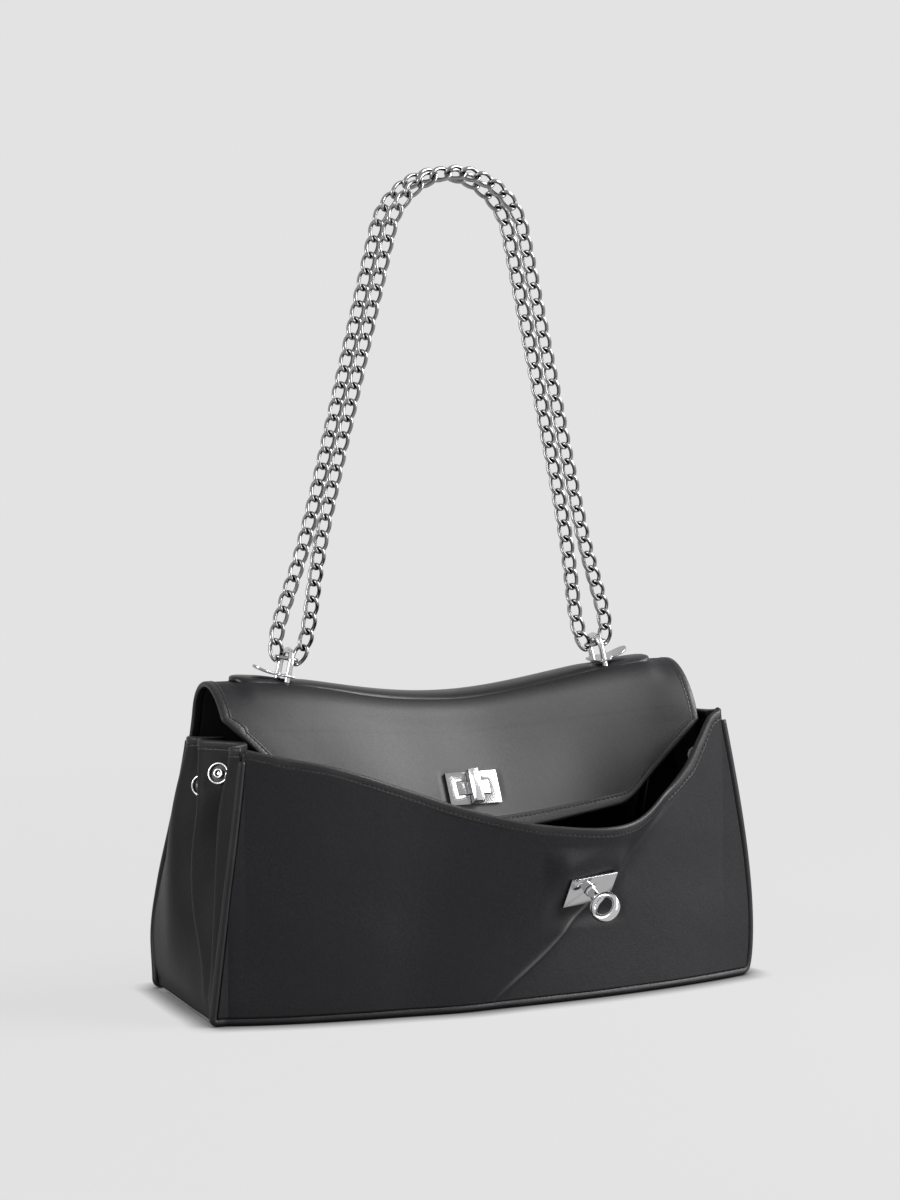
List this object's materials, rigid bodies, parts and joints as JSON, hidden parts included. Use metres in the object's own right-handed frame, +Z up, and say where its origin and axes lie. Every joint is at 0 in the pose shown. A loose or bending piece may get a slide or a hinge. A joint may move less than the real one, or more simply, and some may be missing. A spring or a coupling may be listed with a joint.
{
  "type": "chain shoulder bag",
  "caption": "Small soft leather shoulder bag with a wave-cut front panel, pleated gussets, a fold-over flap with a turn lock, an eye toggle and a doubled chain strap.",
  "frame": {"origin": "on the floor under the middle of the bag", "axes": "+X to the right seen from the front, +Y to the back, +Z up; the front faces -Y"},
  "size_m": [0.3072, 0.1571, 0.4242],
  "materials": {
    "outer_leather": "smooth supple calf leather, near black, soft satin sheen",
    "edge_leather": "rolled black leather edge, slightly glossier than the panels",
    "lining_leather": "matt fine grained lining leather",
    "stiffener": "grey stiffener board, out of sight",
    "polished_metal": "bright silver plated metal",
    "satin_metal": "silver plated metal with a fine satin surface",
    "mirror_plate": "mirror polished silver plated metal"
  },
  "bodies": {
    "bag": {"front_panel": "outer_leather", "front_lining": "lining_leather", "front_binding": "edge_leather", "back_panel": "outer_leather", "back_lining": "lining_leather", "left_gusset": "outer_leather", "right_gusset": "outer_leather", "left_gusset_lining": "lining_leather", "right_gusset_lining": "lining_leather", "left_gusset_binding": "edge_leather", "right_gusset_binding": "edge_leather", "base_panel": "outer_leather", "base_board": "stiffener", "base_lining": "lining_leather", "front_piping": "edge_leather", "back_piping": "edge_leather", "left_snap_sockets": "polished_metal", "right_snap_sockets": "polished_metal", "left_snap_studs": "polished_metal", "right_snap_studs": "polished_metal", "snap_caps": "polished_metal", "toggle_plate": "mirror_plate", "toggle_back_plate": "polished_metal", "toggle_washer": "polished_metal"},
    "flap": {"flap_outer": "outer_leather", "flap_lining": "lining_leather", "flap_binding": "edge_leather", "strip_cover": "edge_leather", "strip_filler": "stiffener", "left_staple": "polished_metal", "right_staple": "polished_metal", "left_tab": "polished_metal", "right_tab": "polished_metal", "staple_back_plates": "polished_metal", "staple_nuts": "polished_metal", "lock_face_plate": "satin_metal", "lock_base": "satin_metal", "lock_back_plate": "polished_metal", "lock_washer": "polished_metal"},
    "chain": {"chain_front_strand": "polished_metal", "chain_rear_strand": "polished_metal", "left_end_link": "polished_metal", "right_end_link": "polished_metal"},
    "lock_knob": {"lock_knob": "satin_metal", "lock_ring": "polished_metal"},
    "eye_toggle": {"eye_toggle": "polished_metal", "toggle_ring": "polished_metal"}
  },
  "joints": [
    {"name": "flap_hinge", "type": "hinge", "parent": "bag", "child": "flap", "pos_m": [0, 0.0195, 0.14], "axis": [-1, 0, 0], "range_deg": [0, 90]},
    {"name": "chain_swing", "type": "hinge", "parent": "flap", "child": "chain", "pos_m": [0, 0.00287, 0.17169], "axis": [1, 0, 0], "range_deg": [-65, 65]},
    {"name": "lock_turn", "type": "hinge", "parent": "flap", "child": "lock_knob", "pos_m": [0, -0.02965, 0.10525], "axis": [0, -0.887, 0.4618], "range_deg": [0, 90]},
    {"name": "eye_turn", "type": "hinge", "parent": "bag", "child": "eye_toggle", "pos_m": [0.04359, -0.07569, 0.059], "axis": [0.1615, -0.85, -0.5015], "continuous": true}
  ]
}
